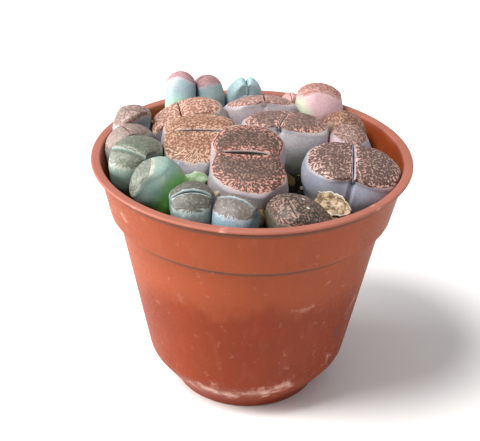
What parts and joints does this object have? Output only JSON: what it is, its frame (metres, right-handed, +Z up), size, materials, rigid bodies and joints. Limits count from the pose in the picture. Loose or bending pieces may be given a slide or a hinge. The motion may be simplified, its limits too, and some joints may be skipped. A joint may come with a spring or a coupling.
{
  "type": "potted lithops",
  "caption": "Round tapered nursery pot filled with soil and a crowd of split, pebble-like succulents with dry leaves between them.",
  "frame": {"origin": "on the supporting surface, below the middle of the pot", "axes": "+Z up along the pot's axis; the picture looks along +Y from the front, with +X to its right"},
  "size_m": [0.12, 0.12, 0.1101],
  "materials": {
    "pot_plastic": "satin terracotta-orange moulded plastic with white mineral deposits",
    "soil_mix": "dark damp gritty potting mix with grit crumbs",
    "lithops_lilac": "matt waxy skin, lilac-grey sides and a brown, netted face",
    "lithops_amber": "matt waxy skin, golden-brown face with a cream net",
    "lithops_pink": "wrinkled pink skin with a brown face",
    "lithops_blue": "matt pale blue skin with a pink or grey face",
    "lithops_olive": "smooth grey-green skin, greener and shinier below",
    "lithops_rose": "pale blue-grey skin with a mauve-brown face",
    "lithops_dark": "dark brown netted face",
    "dry_leaf": "dry papery leaf remains",
    "green_leaf": "withered pale green leaf"
  },
  "bodies": {
    "root": {"pot": "pot_plastic", "soil": "soil_mix", "plant_centre": "lithops_lilac", "plant_right_large": "lithops_lilac", "plant_lilac_right": "lithops_lilac", "plant_lilac_back": "lithops_lilac", "plant_small_right": "lithops_lilac", "plant_orange_large": "lithops_amber", "plant_orange_back": "lithops_amber", "plant_amber_right": "lithops_amber", "plant_pink_back": "lithops_pink", "plant_pink_small": "lithops_pink", "plant_blue_front": "lithops_blue", "plant_blue_column": "lithops_blue", "plant_blue_pink": "lithops_blue", "plant_blue_back": "lithops_blue", "plant_grey_front": "lithops_olive", "plant_green_left": "lithops_olive", "plant_olive_left": "lithops_olive", "plant_rose_left": "lithops_rose", "plant_rose_rim": "lithops_rose", "plant_dark_front": "lithops_dark", "husk_right": "dry_leaf", "husk_front": "dry_leaf", "leaf_dry_tan": "dry_leaf", "leaf_dry_front": "dry_leaf", "leaf_dry_middle": "dry_leaf", "leaf_dry_left": "dry_leaf", "leaf_pale_left": "dry_leaf", "leaf_withered_green": "green_leaf"}
  },
  "joints": []
}
